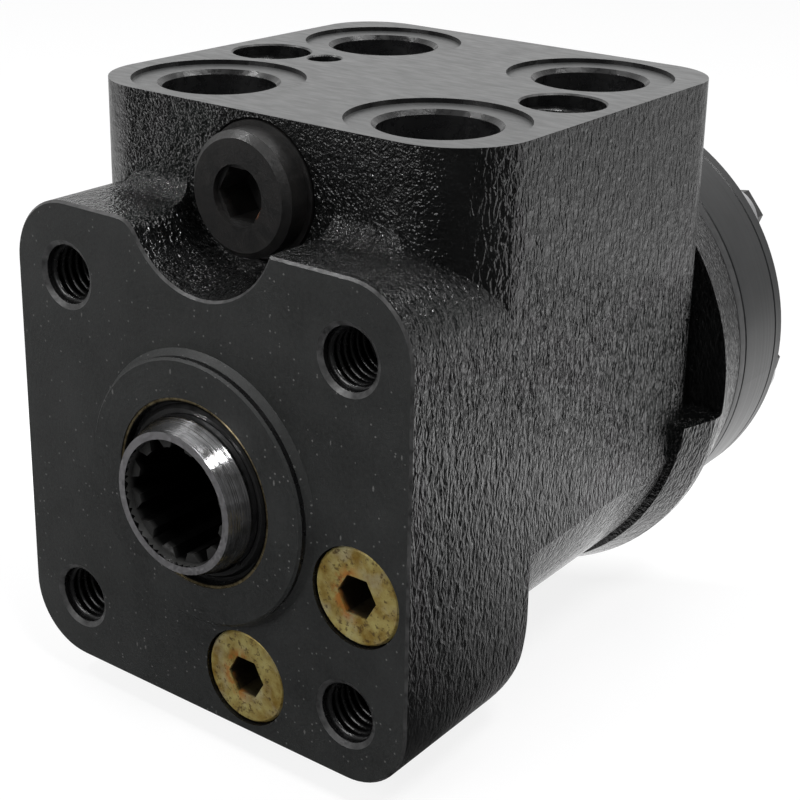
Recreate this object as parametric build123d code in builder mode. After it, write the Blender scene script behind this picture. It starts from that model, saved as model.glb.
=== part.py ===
from build123d import *
import os
from math import cos, hypot, pi, radians, sin, sqrt

os.makedirs("parts", exist_ok=True)

# Orbital steering unit, 100 cc a turn.  Millimetres.
# The shaft lies along Y and the origin is where its axis meets the column mounting face.
# -Y points out of that face at the steering column, +Z points at the port face.

# ---- Cast housing ----
body_width = 81.4          # across the two flat sides
flange_top = 41.5          # column flange, above the shaft axis
flange_bottom = 40.7       # column flange, below the shaft axis
flange_corner = 11.5
flange_depth = 33.0        # lower half of the column flange, front to back
flange_toe = 18.0          # rounding under the back of the column flange
block_front = 13.8         # front wall of the port block
block_back = 91.9
block_base = -12.0         # where the flat sides run into the round barrel
block_corner_front = 13.5
block_corner_back = 11.0
block_foot = 4.0           # blend between the block's front wall and the top of the flange
machined_edge = 0.4        # broken edge round the machined faces
shoulder_height = 24.0     # where the block's front corner has run out into the flat side
shoulder_step = 0.6
shoulder_bulge = 2.2       # how far the slope above it stands out from a straight line
port_face = 58.0           # port face above the shaft axis
barrel_radius = 42.3
barrel_start = 24.0
flare_length = 7.5         # barrel to collar
flare_radius = 43.6
collar_length = 15.8
collar_radius = 46.0
housing_back = 102.8
recess_floor = -4.8        # pocket each side between the block and the collar
recess_step = 3.2          # the pocket ends this far behind the front of the collar
boss_radius = 22.2         # pilot on the mounting face
boss_height = 2.3
boss_blend = 1.0

# ---- Column flange holes, M10 ----
column_spacing = 58.34
column_hole_radius = 5.0
column_hole_depth = 19.0
column_mouth_radius = 5.85

# ---- Ports, 3/4-16 UNF, in two pairs on the port face ----
port_x = 22.63
port_y_front = 29.5
port_y_back = 74.24
port_radius = 9.53
port_mouth_radius = 10.3
port_depth = 16.5
spotface_radius = 14.6
spotface_depth = 0.8
gallery_radius = 3.4
gallery_slope_x = 0.5      # galleries run inwards this much for each unit that they go down

# ---- Valve block holes, M14, and the locating hole between them ----
block_hole_x = 30.9
block_hole_y = 52.1
block_hole_radius = 7.0
block_hole_mouth = 7.3
block_hole_depth = 17.0
locating_x = -20.0
locating_y = 53.8
locating_radius = 3.0
locating_mouth = 3.3
locating_depth = 8.0

# ---- Rotary valve ----
bore_radius = 17.5
bore_front = 4.0
fit_clearance = 0.03       # running fit of the sleeve in the housing and of the spool in the sleeve
spool_radius = 13.0
spool_nose = -6.6
nose_lip_inner = 10.45
nose_lip_outer = 11.7
nose_cone_end = -2.9
spool_set_back = 2.4       # inside the back face
sleeve_front = 15.3
sleeve_set_back = 0.4
dust_bore_radius = 15.8
dust_bore_depth = 3.0
throat_radius = 13.7

# ---- Steering column spline, 12 teeth, 16/32 pitch ----
spline_teeth = 12
spline_minor_radius = 8.73
spline_major_radius = 10.32
spline_space_inner = 3.1   # width of a tooth space at the minor radius
spline_space_outer = 1.9   # and at the major radius
spline_front = -5.2
spline_back = 13.0

# ---- Cross pin, cardan shaft and centring springs ----
pin_radius = 3.0
pin_clearance = 0.02
pin_y = 38.0
pin_length = 34.4
spool_deflection = 10.0    # degrees of lost motion between spool and sleeve, each way
cardan_bore_radius = 10.2
cardan_bore_front = 31.0
cardan_shaft_radius = 6.0
cardan_head_radius = 8.2
cardan_head_front = 33.5
cardan_head_back = 46.0
fork_clearance = 0.5
spring_slot_width = 5.0
spring_slot_front = 18.0
spring_slot_back = 24.0
spring_leaf = 0.45
spring_half_length = 15.6
spring_band_front = 17.0
spring_band_back = 25.0
spring_band_inner = 16.2

# ---- Grooves and holes of the sleeve, and grooves of the spool ----
valve_groove_width = 7.0
valve_groove_depth = 0.8
valve_hole_radius = 1.3
meter_depth = 10.8         # from the back face to the ring of holes that meet the seven channels
spool_groove_width = 3.2
spool_groove_depth = 0.9
spool_groove_front = 50.0
spool_groove_runout = 4.4  # short of the back end of the spool

# ---- Thrust bearing ----
seal_back = 8.7
race_thickness = 2.0
needle_radius = 1.0
needle_count = 16
needle_length = 2.6
needle_inner = 14.0
bearing_inner = 13.35

# ---- Gerotor: a seven-lobed ring and a six-toothed star ----
ring_radius = 42.25
ring_width = 13.0
ring_lobes = 7
lobe_radius = 8.0
lobe_pitch_radius = 35.2
eccentricity = 3.75
star_clearance = 0.05
star_side_clearance = 0.04
pocket_clearance = 0.25
drive_teeth = 12
drive_tip_radius = 8.7     # teeth on the back end of the cardan shaft
drive_root_radius = 7.3
drive_clearance = 0.4
drive_length = 9.6
plate_thickness = 2.7
plate_bore_radius = 12.0
channel_radius = 2.0       # seven channels feed the gerotor chambers through the plate
channel_pitch_radius = 30.5
channel_depth = 11.8
cover_thickness = 3.5
cover_chamfer = 0.8
seam_edge = 0.3            # on the outer edges where plate, ring and cover meet
spacer_thickness = 1.0
spacer_radius = 7.6

# ---- Cover screws, M8 ----
screw_radius = 3.95
screw_hole_radius = 4.3
screw_thread_radius = 4.0
screw_reach = 18.8         # into the housing
screw_head_across = 10.0
screw_head_height = 4.2
washer_thickness = 1.4
washer_radius = 6.6

# ---- O-rings ----
oring_radius = 0.65
oring_pitch_radius = 40.6
groove_width = 1.36
groove_depth = 1.3

# ---- Shock valves, behind the two plugs in the mounting face ----
shock_pitch_radius = 32.0
shock_angles = (-15.3, -74.7)
shock_head_radius = 8.0
shock_recess_radius = 8.25
shock_recess_depth = 2.7
shock_head_set_back = 0.35
shock_thread_radius = 6.95
shock_plug_end = 14.0
shock_chamber_radius = 4.7
shock_seat_y = 46.0
shock_seat_radius = 2.4
shock_ball_radius = 3.2
shock_socket_across = 6.4
shock_socket_depth = 7.0

# ---- Relief valve, behind the plug in the block's front wall ----
relief_z = 45.9
relief_spotface_radius = 11.4
relief_spotface_y = 15.0
relief_head_radius = 10.1
relief_head_front = 9.0
relief_head_chamfer = 1.1
relief_washer_radius = 11.0
relief_washer_thickness = 1.4
relief_thread_radius = 8.5
relief_plug_end = 23.0
relief_socket_radius = 4.95
relief_socket_across = 8.2
relief_socket_depth = 7.5
adjuster_end = 33.0
relief_chamber_radius = 6.0
relief_seat_y = 56.0
relief_seat_radius = 2.6
poppet_length = 7.0
pocket_radius = 15.3       # scoop in the top of the flange that clears a key on the relief plug
pocket_height = 47.0
pocket_rim = 4.5

# ---- Check valve in the pressure port ----
check_chamber_radius = 5.0
check_chamber_depth = 8.9
check_ball_radius = 4.3
check_bush_length = 4.5
check_bush_radius = 8.6
check_bush_hole = 3.2

# ---- Suction valves, at the bottom of two of the screw bores ----
suction_lobes = (2, 4)     # which screws, counted from the top one
suction_depth = 34.8       # from the back face to the seats
suction_ball_radius = 3.75
suction_pin_radius = 1.6
suction_hole_radius = 2.2
suction_travel = 1.2

thread_clearance = 0.05    # radial gap between a plain-turned thread and its hole

# ---- What follows from the sizes above ----
collar_front = housing_back - collar_length
flare_start = collar_front - flare_length
recess_back = collar_front + recess_step
spool_back = housing_back - spool_set_back
sleeve_back = housing_back - sleeve_set_back
meter_hole_y = housing_back - meter_depth
spool_groove_back = spool_back - spool_groove_runout
channel_front = housing_back - channel_depth
screw_end = housing_back - screw_reach
suction_seat_y = housing_back - suction_depth
plate_back = housing_back + plate_thickness
ring_back = plate_back + ring_width
cover_back = ring_back + cover_thickness
port_floor = port_face - port_depth
bush_floor = port_floor - check_bush_length
check_floor = bush_floor - check_chamber_depth
half_width = body_width / 2
lobe_angles = [90 + 360 / ring_lobes * k for k in range(ring_lobes)]
channel_angles = [angle + 180 / ring_lobes for angle in lobe_angles]
race_1_front = seal_back + 0.1
cage_front = race_1_front + race_thickness
race_2_front = cage_front + 2 * needle_radius
drive_middle = (plate_back + ring_back) / 2


def across(y):
    """The plane square to the shaft at a distance y behind the mounting face, seen from the front."""
    return Plane.XZ.offset(-y)


def polar(radius, angle):
    """Point at a radius and an angle in the plane square to the shaft."""
    return (radius * cos(radians(angle)), radius * sin(radians(angle)))


def disc(y_front, y_back, radius, x=0, z=0):
    """Solid cylinder along Y, from y_front to y_back, about the line through (x, z)."""
    with BuildPart() as solid:
        with BuildSketch(across(y_back)):
            with Locations((x, z)):
                Circle(radius)
        extrude(amount=y_back - y_front)
    return solid.part


def ring(y_front, y_back, inner, outer):
    """Plain ring about the shaft axis, from y_front to y_back."""
    with BuildPart() as solid:
        with BuildSketch(across(y_back)):
            Circle(outer)
            Circle(inner, mode=Mode.SUBTRACT)
        extrude(amount=y_back - y_front)
    return solid.part


def turned(points, x=0, z=0):
    """Solid turned about the line along Y through (x, z) from an outline of (radius, y) points."""
    with BuildPart() as solid:
        with BuildSketch(Plane.XY.offset(z)):
            with BuildLine():
                Polyline([(x + r, y) for r, y in points], close=True)
            make_face()
        revolve(axis=Axis((x, 0, z), (0, 1, 0)))
    return solid.part


def hex_hole(y_front, depth, width, x=0, z=0):
    """Hexagon socket of a width across flats, cut from y_front backwards, ending in a drill point."""
    with BuildPart() as solid:
        with BuildSketch(across(y_front + depth)):
            with Locations((x, z)):
                RegularPolygon(width / 2, 6, major_radius=False)
        extrude(amount=depth)
    return solid.part


def coil(y_front, y_back, mean_radius, wire_radius, turns, x=0, z=0):
    """Compression spring along Y between two seats."""
    height = y_back - y_front - 2 * wire_radius
    with BuildPart() as solid:
        with BuildLine():
            path = Helix(
                pitch=height / turns,
                height=height,
                radius=mean_radius,
                center=(x, y_front + wire_radius, z),
                direction=(0, 1, 0),
            )
        with BuildSketch(Plane(origin=path @ 0, z_dir=path % 0)):
            Circle(wire_radius)
        sweep(is_frenet=True)
    return solid.part


def rims(stack):
    """The two outer edges of one piece of the metering stack, front first."""
    return (
        stack.edges()
        .filter_by(GeomType.CIRCLE)
        .filter_by(lambda edge: abs(edge.radius - ring_radius) < 0.01)
        .sort_by(Axis.Y)
    )


def finish(part, name):
    """Label a finished piece and write it to its own file."""
    part.label = name
    export_step(part, f"parts/{name}.step")


# ======================= Housing =======================
# Grey iron casting: a square column flange, a port block standing on a round barrel, and a collar
# that the gerotor is bolted to.

flange_middle = (flange_top - flange_bottom) / 2
shoulder_front = block_front + shoulder_step
shoulder_back = block_front + block_corner_front
shoulder_slope = hypot(shoulder_back - shoulder_front, flange_top - shoulder_height)
shoulder_point = (
    (shoulder_back + shoulder_front) / 2 + shoulder_bulge * (flange_top - shoulder_height) / shoulder_slope,
    (shoulder_height + flange_top) / 2 + shoulder_bulge * (shoulder_back - shoulder_front) / shoulder_slope,
)

with BuildPart() as collar:
    add(
        turned(
            [
                (0, flare_start),
                (flare_radius, flare_start),
                (collar_radius, collar_front),
                (collar_radius, collar_front + 2),
                (ring_radius, housing_back),
                (0, housing_back),
            ]
        )
    )
    with BuildSketch(Plane.YZ) as pocket_side:
        with Locations(((flare_start - 1 + recess_back) / 2, recess_floor + collar_radius)):
            Rectangle(recess_back - flare_start + 1, 2 * collar_radius)
    extrude(amount=2 * collar_radius, both=True, mode=Mode.SUBTRACT)

with BuildPart() as block:
    with BuildSketch(Plane.XY.offset(port_face)) as block_plan:
        with Locations((0, (block_front + block_back) / 2)):
            Rectangle(body_width, block_back - block_front)
        fillet(block_plan.vertices().group_by(Axis.Y)[0], block_corner_front)
        fillet(block_plan.vertices().group_by(Axis.Y)[-1], block_corner_back)
    extrude(amount=block_base - port_face)

# Blend along the foot of the block's front wall; it fades out round the front corners.
foot_end = half_width - block_corner_front
with BuildPart() as foot_blend:
    with BuildSketch(Plane.YZ) as foot_section:
        with BuildLine():
            Polyline(
                (block_front - block_foot, flange_top),
                (block_front - block_foot, flange_top - 1),
                (block_front, flange_top - 1),
                (block_front, flange_top + block_foot),
            )
            RadiusArc(
                (block_front - block_foot, flange_top),
                (block_front, flange_top + block_foot),
                -block_foot,
            )
        make_face()
    extrude(amount=foot_end)
    with BuildSketch(Plane.YZ.offset(foot_end)):
        add(foot_section.sketch_local)
    revolve(axis=Axis((foot_end, block_front, 0), (0, 0, 1)), revolution_arc=120)
    mirror(about=Plane.YZ)
    add(disc(-1, block_front, pocket_radius, 0, pocket_height), mode=Mode.SUBTRACT)

with BuildPart() as barrel:
    with BuildSketch(across(flare_start)):
        Circle(barrel_radius)
        Rectangle(body_width, 3 * barrel_radius, mode=Mode.INTERSECT)
    extrude(amount=flare_start - barrel_start)

with BuildPart() as housing:
    # Column flange, with its outline seen from the front and its steps seen from the side.
    with BuildSketch(across(flange_depth)) as flange_outline:
        with Locations((0, flange_middle)):
            RectangleRounded(body_width, flange_top + flange_bottom, flange_corner)
        with Locations((0, pocket_height)):
            Circle(pocket_radius, mode=Mode.SUBTRACT)
        fillet(flange_outline.vertices().sort_by_distance((-pocket_radius, flange_top))[0], pocket_rim)
    extrude(amount=flange_depth)
    chamfer(housing.faces().sort_by(Axis.Y)[0].edges(), machined_edge)
    with BuildSketch(Plane.YZ):
        with BuildLine():
            Polyline((0, flange_top), (0, -flange_bottom), (flange_depth - flange_toe, -flange_bottom))
            CenterArc((flange_depth - flange_toe, flange_toe - flange_bottom), flange_toe, -90, 90)
            Polyline(
                (flange_depth, flange_toe - flange_bottom),
                (flange_depth, block_base),
                (shoulder_back, block_base),
                (shoulder_back, shoulder_height),
            )
            ThreePointArc((shoulder_back, shoulder_height), shoulder_point, (shoulder_front, flange_top))
            Line((shoulder_front, flange_top), (0, flange_top))
        make_face()
    extrude(amount=body_width, both=True, mode=Mode.INTERSECT)
    add(block.part)
    add(foot_blend.part)
    add(barrel.part)
    add(collar.part)

    # Pilot boss, with a small blend at its foot.
    add(
        turned(
            [
                (0, 1),
                (boss_radius + boss_blend, 1),
                (boss_radius + boss_blend, 0),
                (boss_radius, -boss_blend),
                (boss_radius, machined_edge - boss_height),
                (boss_radius - machined_edge, -boss_height),
                (0, -boss_height),
            ]
        )
    )

    # Spotface of the relief plug.
    add(disc(0, relief_spotface_y, relief_spotface_radius, 0, relief_z), mode=Mode.SUBTRACT)

    # Shaft bore: dust seal seat, throat, and the long bore of the rotary valve.
    add(
        turned(
            [
                (0, -boss_height - 1),
                (dust_bore_radius, -boss_height - 1),
                (dust_bore_radius, dust_bore_depth),
                (throat_radius, dust_bore_depth),
                (throat_radius, bore_front),
                (bore_radius, bore_front),
                (bore_radius, housing_back + 1),
                (0, housing_back + 1),
            ]
        ),
        mode=Mode.SUBTRACT,
    )

    # Column flange holes.
    with Locations(across(0)):
        with GridLocations(column_spacing, column_spacing, 2, 2):
            Hole(column_hole_radius, column_hole_depth)
            CounterSinkHole(column_hole_radius, column_mouth_radius, column_hole_depth, 120)

    # Ports with their spotfaces and chamfered mouths, and the galleries down to the valve bore.
    with Locations(Plane.XY.offset(port_face)):
        with Locations((0, (port_y_front + port_y_back) / 2)):
            with GridLocations(2 * port_x, port_y_back - port_y_front, 2, 2):
                CounterBoreHole(port_radius, spotface_radius, spotface_depth, port_depth)
    with Locations(Plane.XY.offset(port_face - spotface_depth)):
        with Locations((0, (port_y_front + port_y_back) / 2)):
            with GridLocations(2 * port_x, port_y_back - port_y_front, 2, 2):
                CounterSinkHole(port_radius, port_mouth_radius, 5, 90)
    for side in (-1, 1):
        for y in (port_y_front, port_y_back):
            is_pressure = side < 0 and y == port_y_front
            mouth = bush_floor if is_pressure else port_floor
            top = mouth - check_chamber_depth / 2 if is_pressure else mouth + 1
            foot = (side * (port_x - gallery_slope_x * mouth), y, 0)
            lean = Vector(side * gallery_slope_x, 0, 1)
            start = Vector(*foot) + lean * top
            reach = top - bore_radius * 0.8
            with BuildSketch(Plane(origin=start, z_dir=-lean)):
                Circle(gallery_radius)
            extrude(amount=reach * lean.length, mode=Mode.SUBTRACT)

    # Check valve bush seat and ball chamber under the pressure port.
    with Locations(Plane.XY.offset(port_floor)):
        with Locations((-port_x, port_y_front)):
            Hole(check_bush_radius + thread_clearance, check_bush_length)
            Hole(check_chamber_radius, port_floor - check_floor)

    # Valve block holes and the locating hole.
    with Locations(Plane.XY.offset(port_face)):
        with Locations((-block_hole_x, block_hole_y), (block_hole_x, block_hole_y)):
            CounterSinkHole(block_hole_radius, block_hole_mouth, block_hole_depth, 90)
        with Locations((locating_x, locating_y)):
            CounterSinkHole(locating_radius, locating_mouth, locating_depth, 90)

    # Relief valve: thread, spring chamber, seat, and its ways to the valve bore and the tank port.
    add(
        turned(
            [
                (0, 0),
                (relief_thread_radius, 0),
                (relief_thread_radius, adjuster_end + 1),
                (relief_chamber_radius, adjuster_end + 1),
                (relief_chamber_radius, relief_seat_y),
                (relief_seat_radius, relief_seat_y),
                (relief_seat_radius, relief_seat_y + 9),
                (0, relief_seat_y + 9),
            ],
            z=relief_z,
        ),
        mode=Mode.SUBTRACT,
    )
    with BuildSketch(Plane.XY.offset(relief_z)):
        with Locations((0, relief_seat_y + 6)):
            Circle(relief_seat_radius)
    extrude(amount=bore_radius - 2 - relief_z, mode=Mode.SUBTRACT)
    with BuildSketch(Plane.YZ):
        with Locations((port_y_front + port_radius / 2, relief_z)):
            Circle(relief_seat_radius)
    extrude(amount=port_x - port_radius / 2, mode=Mode.SUBTRACT)

    # Shock valves: plug recess, thread, spring chamber and seat, and a cross hole to the valve bore.
    for angle in shock_angles:
        x, z = polar(shock_pitch_radius, angle)
        add(
            turned(
                [
                    (0, -1),
                    (shock_recess_radius, -1),
                    (shock_recess_radius, shock_recess_depth),
                    (shock_thread_radius + thread_clearance, shock_recess_depth),
                    (shock_thread_radius + thread_clearance, shock_plug_end + 1),
                    (shock_chamber_radius, shock_plug_end + 1),
                    (shock_chamber_radius, shock_seat_y),
                    (shock_seat_radius, shock_seat_y),
                    (shock_seat_radius, shock_seat_y + 6),
                    (0, shock_seat_y + 6),
                ],
                x,
                z,
            ),
            mode=Mode.SUBTRACT,
        )
        with BuildSketch(Plane(origin=(x, shock_seat_y + 3.5, z), z_dir=(-x, 0, -z))):
            Circle(shock_seat_radius)
        extrude(amount=shock_pitch_radius - bore_radius + 1, mode=Mode.SUBTRACT)

    # Screw bores in the back face; two run on to the suction valves.
    for number, angle in enumerate(lobe_angles):
        x, z = polar(lobe_pitch_radius, angle)
        end = suction_seat_y if number in suction_lobes else screw_end - 2
        add(disc(end, housing_back, screw_thread_radius, x, z), mode=Mode.SUBTRACT)
        if number in suction_lobes:
            add(disc(end - 5, end, suction_hole_radius, x, z), mode=Mode.SUBTRACT)
            with BuildSketch(Plane(origin=(x, end - 2.5, z), z_dir=(-x, 0, -z))):
                Circle(suction_hole_radius)
            extrude(amount=lobe_pitch_radius - bore_radius + 1, mode=Mode.SUBTRACT)

    # Seven channels from the back face to the valve bore, between the screws.
    for angle in channel_angles:
        x, z = polar(channel_pitch_radius, angle)
        add(disc(channel_front, housing_back, channel_radius, x, z), mode=Mode.SUBTRACT)
        crossing = channel_front + channel_radius + 0.2
        with BuildSketch(Plane(origin=(x, crossing, z), z_dir=(-x, 0, -z))):
            Circle(channel_radius)
        extrude(amount=channel_pitch_radius - bore_radius + 1, mode=Mode.SUBTRACT)

    # O-ring groove in the back face.
    add(
        ring(
            housing_back - groove_depth,
            housing_back,
            oring_pitch_radius - groove_width / 2,
            oring_pitch_radius + groove_width / 2,
        ),
        mode=Mode.SUBTRACT,
    )

finish(housing.part, "housing")

# ======================= Seals and thrust bearing at the shaft end =======================

# Pressed steel cup of the dust seal, and the rubber wiper moulded into it.
case_radius = dust_bore_radius - 0.03
with BuildPart() as dust_seal_case:
    add(
        turned(
            [
                (case_radius - 0.7, 0.2 - boss_height),
                (case_radius, 0.2 - boss_height),
                (case_radius, dust_bore_depth),
                (throat_radius + 0.3, dust_bore_depth),
                (throat_radius + 0.3, dust_bore_depth - 0.7),
                (case_radius - 0.7, dust_bore_depth - 0.7),
            ]
        )
    )
finish(dust_seal_case.part, "dust_seal_case")

wiper_bore = spool_radius + 0.06
with BuildPart() as dust_seal:
    add(
        turned(
            [
                (wiper_bore, 0.9 - boss_height),
                (wiper_bore + 0.8, 0.7 - boss_height),
                (case_radius - 1.3, 1.5 - boss_height),
                (case_radius - 0.72, 1.5 - boss_height),
                (case_radius - 0.72, dust_bore_depth - 0.72),
                (wiper_bore + 0.5, dust_bore_depth - 0.72),
                (wiper_bore + 0.5, 2.2 - boss_height),
                (wiper_bore, 1.9 - boss_height),
            ]
        )
    )
finish(dust_seal.part, "dust_seal")

# Shaft seal: a rubber ring with a groove behind its lip, fed with oil from the bearing side.
with BuildPart() as shaft_seal:
    add(
        turned(
            [
                (wiper_bore + 0.7, bore_front),
                (bore_radius - 0.02, bore_front),
                (bore_radius - 0.02, seal_back),
                (bore_radius - 1.4, seal_back),
                (bore_radius - 1.8, seal_back - 2.6),
                (spool_radius + 1.9, seal_back - 2.6),
                (spool_radius + 1.3, seal_back),
                (wiper_bore + 0.3, seal_back),
                (wiper_bore, seal_back - 1.2),
            ]
        )
    )
finish(shaft_seal.part, "shaft_seal")

race_outer = bore_radius - 0.1
with BuildPart() as bearing_race_front:
    add(ring(race_1_front, race_1_front + race_thickness, bearing_inner, race_outer))
finish(bearing_race_front.part, "bearing_race_front")

with BuildPart() as bearing_race_back:
    add(ring(race_2_front, race_2_front + race_thickness, bearing_inner, race_outer))
finish(bearing_race_back.part, "bearing_race_back")

# Needle cage, with a radial pocket for each needle.
needle_y = cage_front + needle_radius
with BuildPart() as bearing_cage:
    add(ring(cage_front + 0.2, race_2_front - 0.2, bearing_inner, race_outer - 0.1))
    with BuildSketch(across(race_2_front)):
        with PolarLocations(needle_inner + needle_length / 2, needle_count):
            Rectangle(needle_length + 0.1, 2 * needle_radius + 0.06)
    extrude(amount=2 * needle_radius, mode=Mode.SUBTRACT)
finish(bearing_cage.part, "bearing_cage")

with BuildPart() as bearing_needles:
    for k in range(needle_count):
        out_x, out_z = polar(1, 360 / needle_count * k)
        start = (needle_inner * out_x, needle_y, needle_inner * out_z)
        with BuildSketch(Plane(origin=start, z_dir=(out_x, 0, out_z))):
            Circle(needle_radius - 0.02)
        extrude(amount=needle_length)
finish(bearing_needles.part, "bearing_needles")

# ======================= Rotary valve =======================

# Spool: the polished nose shows in the boss, with the steering column spline inside it.
with BuildPart() as spool:
    add(
        turned(
            [
                (0, spool_nose),
                (nose_lip_outer, spool_nose),
                (spool_radius, nose_cone_end),
                (spool_radius, spool_back),
                (0, spool_back),
            ]
        )
    )
    add(
        turned(
            [
                (0, spool_nose),
                (nose_lip_inner, spool_nose),
                (spline_major_radius, spline_front),
                (0, spline_front),
            ]
        ),
        mode=Mode.SUBTRACT,
    )
    with BuildSketch(across(spline_back)):
        Circle(spline_minor_radius)
        with PolarLocations(0, spline_teeth):
            Polygon(
                (spline_minor_radius - 1, -spline_space_inner / 2),
                (spline_minor_radius, -spline_space_inner / 2),
                (spline_major_radius, -spline_space_outer / 2),
                (spline_major_radius, spline_space_outer / 2),
                (spline_minor_radius, spline_space_inner / 2),
                (spline_minor_radius - 1, spline_space_inner / 2),
                align=None,
            )
    extrude(amount=spline_back - spline_front, mode=Mode.SUBTRACT)
    add(disc(cardan_bore_front, spool_back, cardan_bore_radius), mode=Mode.SUBTRACT)
    # Slot for the centring springs, across the solid web between the spline and the cardan bore.
    with BuildSketch(across(spring_slot_back)):
        Rectangle(spring_slot_width, 3 * spool_radius)
    extrude(amount=spring_slot_back - spring_slot_front, mode=Mode.SUBTRACT)
    # The cross pin passes through long holes, which leave the spool its lost motion.
    with BuildSketch(Plane.YZ):
        with Locations((pin_y, 0)):
            SlotCenterToCenter(
                2 * spool_radius * sin(radians(spool_deflection + 1)),
                2 * (pin_radius + 0.15),
                rotation=90,
            )
    extrude(amount=spool_radius + 1, both=True, mode=Mode.SUBTRACT)
    with BuildSketch(across(spool_groove_back)):
        with PolarLocations(spool_radius, 6):
            Rectangle(2 * spool_groove_depth, spool_groove_width)
    extrude(amount=spool_groove_back - spool_groove_front, mode=Mode.SUBTRACT)
finish(spool.part, "spool")

# Sleeve: turns in the housing and carries the grooves and holes that the spool opens and shuts.
sleeve_outer = bore_radius - fit_clearance
with BuildPart() as sleeve:
    add(ring(sleeve_front, sleeve_back, spool_radius + fit_clearance, sleeve_outer))
    add(
        ring(spring_band_front, spring_band_back, spring_band_inner - 0.05, bore_radius + 1),
        mode=Mode.SUBTRACT,
    )
    with BuildSketch(across(spring_slot_back)):
        Rectangle(spring_slot_width, 3 * bore_radius)
    extrude(amount=spring_slot_back - spring_slot_front, mode=Mode.SUBTRACT)
    with BuildSketch(Plane.YZ):
        with Locations((pin_y, 0)):
            Circle(pin_radius + pin_clearance)
    extrude(amount=bore_radius + 1, both=True, mode=Mode.SUBTRACT)
    for y in (port_y_front, port_y_back):
        add(
            ring(
                y - valve_groove_width / 2,
                y + valve_groove_width / 2,
                sleeve_outer - valve_groove_depth,
                bore_radius + 1,
            ),
            mode=Mode.SUBTRACT,
        )
    for y, holes in ((port_y_front, 3), (port_y_back, 3), (meter_hole_y, 6)):
        for k in range(holes):
            out_x, out_z = polar(1, 180 / holes * (k + 0.5))
            with BuildSketch(Plane(origin=(0, y, 0), z_dir=(out_x, 0, out_z))):
                Circle(valve_hole_radius)
            extrude(amount=bore_radius + 1, both=True, mode=Mode.SUBTRACT)
finish(sleeve.part, "sleeve")

with BuildPart() as cross_pin:
    with BuildSketch(Plane.YZ):
        with Locations((pin_y, 0)):
            Circle(pin_radius)
    extrude(amount=pin_length / 2, both=True)
    chamfer(cross_pin.edges().filter_by(GeomType.CIRCLE), 0.4)
finish(cross_pin.part, "cross_pin")

# Centring springs: two flat leaves between two pairs of bowed ones, all in the one slot.
leaf_gap = 0.03
leaf_step = spring_leaf + leaf_gap
leaf_bow = spring_slot_width / 2 - 3 * leaf_step - leaf_gap
with BuildPart() as centring_springs:
    for side in (-1, 1):
        with BuildSketch(across(spring_slot_back - 0.2)):
            with Locations((side * (leaf_gap + spring_leaf) / 2, 0)):
                Rectangle(spring_leaf, 2 * spring_half_length)
        extrude(amount=spring_slot_back - spring_slot_front - 0.4)
        for layer in (1, 2):
            near = leaf_gap / 2 + layer * leaf_step
            far = near + spring_leaf
            with BuildSketch(across(spring_slot_back - 0.2)):
                with BuildLine():
                    ThreePointArc(
                        (side * (near + leaf_bow), -spring_half_length),
                        (side * near, 0),
                        (side * (near + leaf_bow), spring_half_length),
                    )
                    Line(
                        (side * (near + leaf_bow), spring_half_length),
                        (side * (far + leaf_bow), spring_half_length),
                    )
                    ThreePointArc(
                        (side * (far + leaf_bow), spring_half_length),
                        (side * far, 0),
                        (side * (far + leaf_bow), -spring_half_length),
                    )
                    Line(
                        (side * (far + leaf_bow), -spring_half_length),
                        (side * (near + leaf_bow), -spring_half_length),
                    )
                make_face()
            extrude(amount=spring_slot_back - spring_slot_front - 0.4)
finish(centring_springs.part, "centring_springs")

with BuildPart() as spring_band:
    add(ring(spring_band_front + 0.1, spring_band_back - 0.1, spring_band_inner, bore_radius - 0.1))
finish(spring_band.part, "spring_band")

# ======================= Cardan shaft =======================
# It leans from the cross pin, on the axis, to the middle of the star, which is off it.

reach = drive_middle - pin_y
lean = Plane(origin=(0, pin_y, 0), x_dir=(1, 0, 0), z_dir=(0, -reach, eccentricity))
lean_side = Plane(origin=(0, pin_y, 0), x_dir=(0, reach, -eccentricity), z_dir=(1, 0, 0))
length = hypot(reach, eccentricity)
drive_front = length - drive_length / 2
drive_back = length + drive_length / 2
head_front = cardan_head_front - pin_y
head_back = cardan_head_back - pin_y
tooth_root = 2.3
tooth_tip = 1.4

with BuildPart() as cardan_shaft:
    with BuildSketch(lean.offset(-drive_back)):
        Circle(drive_root_radius)
        with PolarLocations(0, drive_teeth):
            Polygon(
                (drive_root_radius - 1, -tooth_root / 2),
                (drive_tip_radius, -tooth_tip / 2),
                (drive_tip_radius, tooth_tip / 2),
                (drive_root_radius - 1, tooth_root / 2),
                align=None,
            )
    extrude(amount=drive_length)
    chamfer(cardan_shaft.faces().filter_by(GeomType.PLANE).sort_by(Axis.Y)[-1].edges(), 0.3)
    with BuildSketch(lean_side):
        with BuildLine():
            Polyline(
                (head_front, 0),
                (head_front, cardan_head_radius - 0.6),
                (head_front + 0.6, cardan_head_radius),
                (head_back, cardan_head_radius),
                (head_back + 3.5, cardan_shaft_radius),
                (drive_front, cardan_shaft_radius),
                (drive_front, 0),
                close=True,
            )
        make_face()
    revolve(axis=Axis((0, pin_y, 0), (0, reach, -eccentricity)))
    # Fork that straddles the cross pin.
    with BuildSketch(lean_side):
        Circle(pin_radius + fork_clearance)
        with Locations((head_front, 0)):
            Rectangle(-2 * head_front, 2 * (pin_radius + fork_clearance))
    extrude(amount=cardan_head_radius + 1, both=True, mode=Mode.SUBTRACT)
finish(cardan_shaft.part, "cardan_shaft")

# ======================= Gerotor, distributor plate and cover =======================

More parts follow.
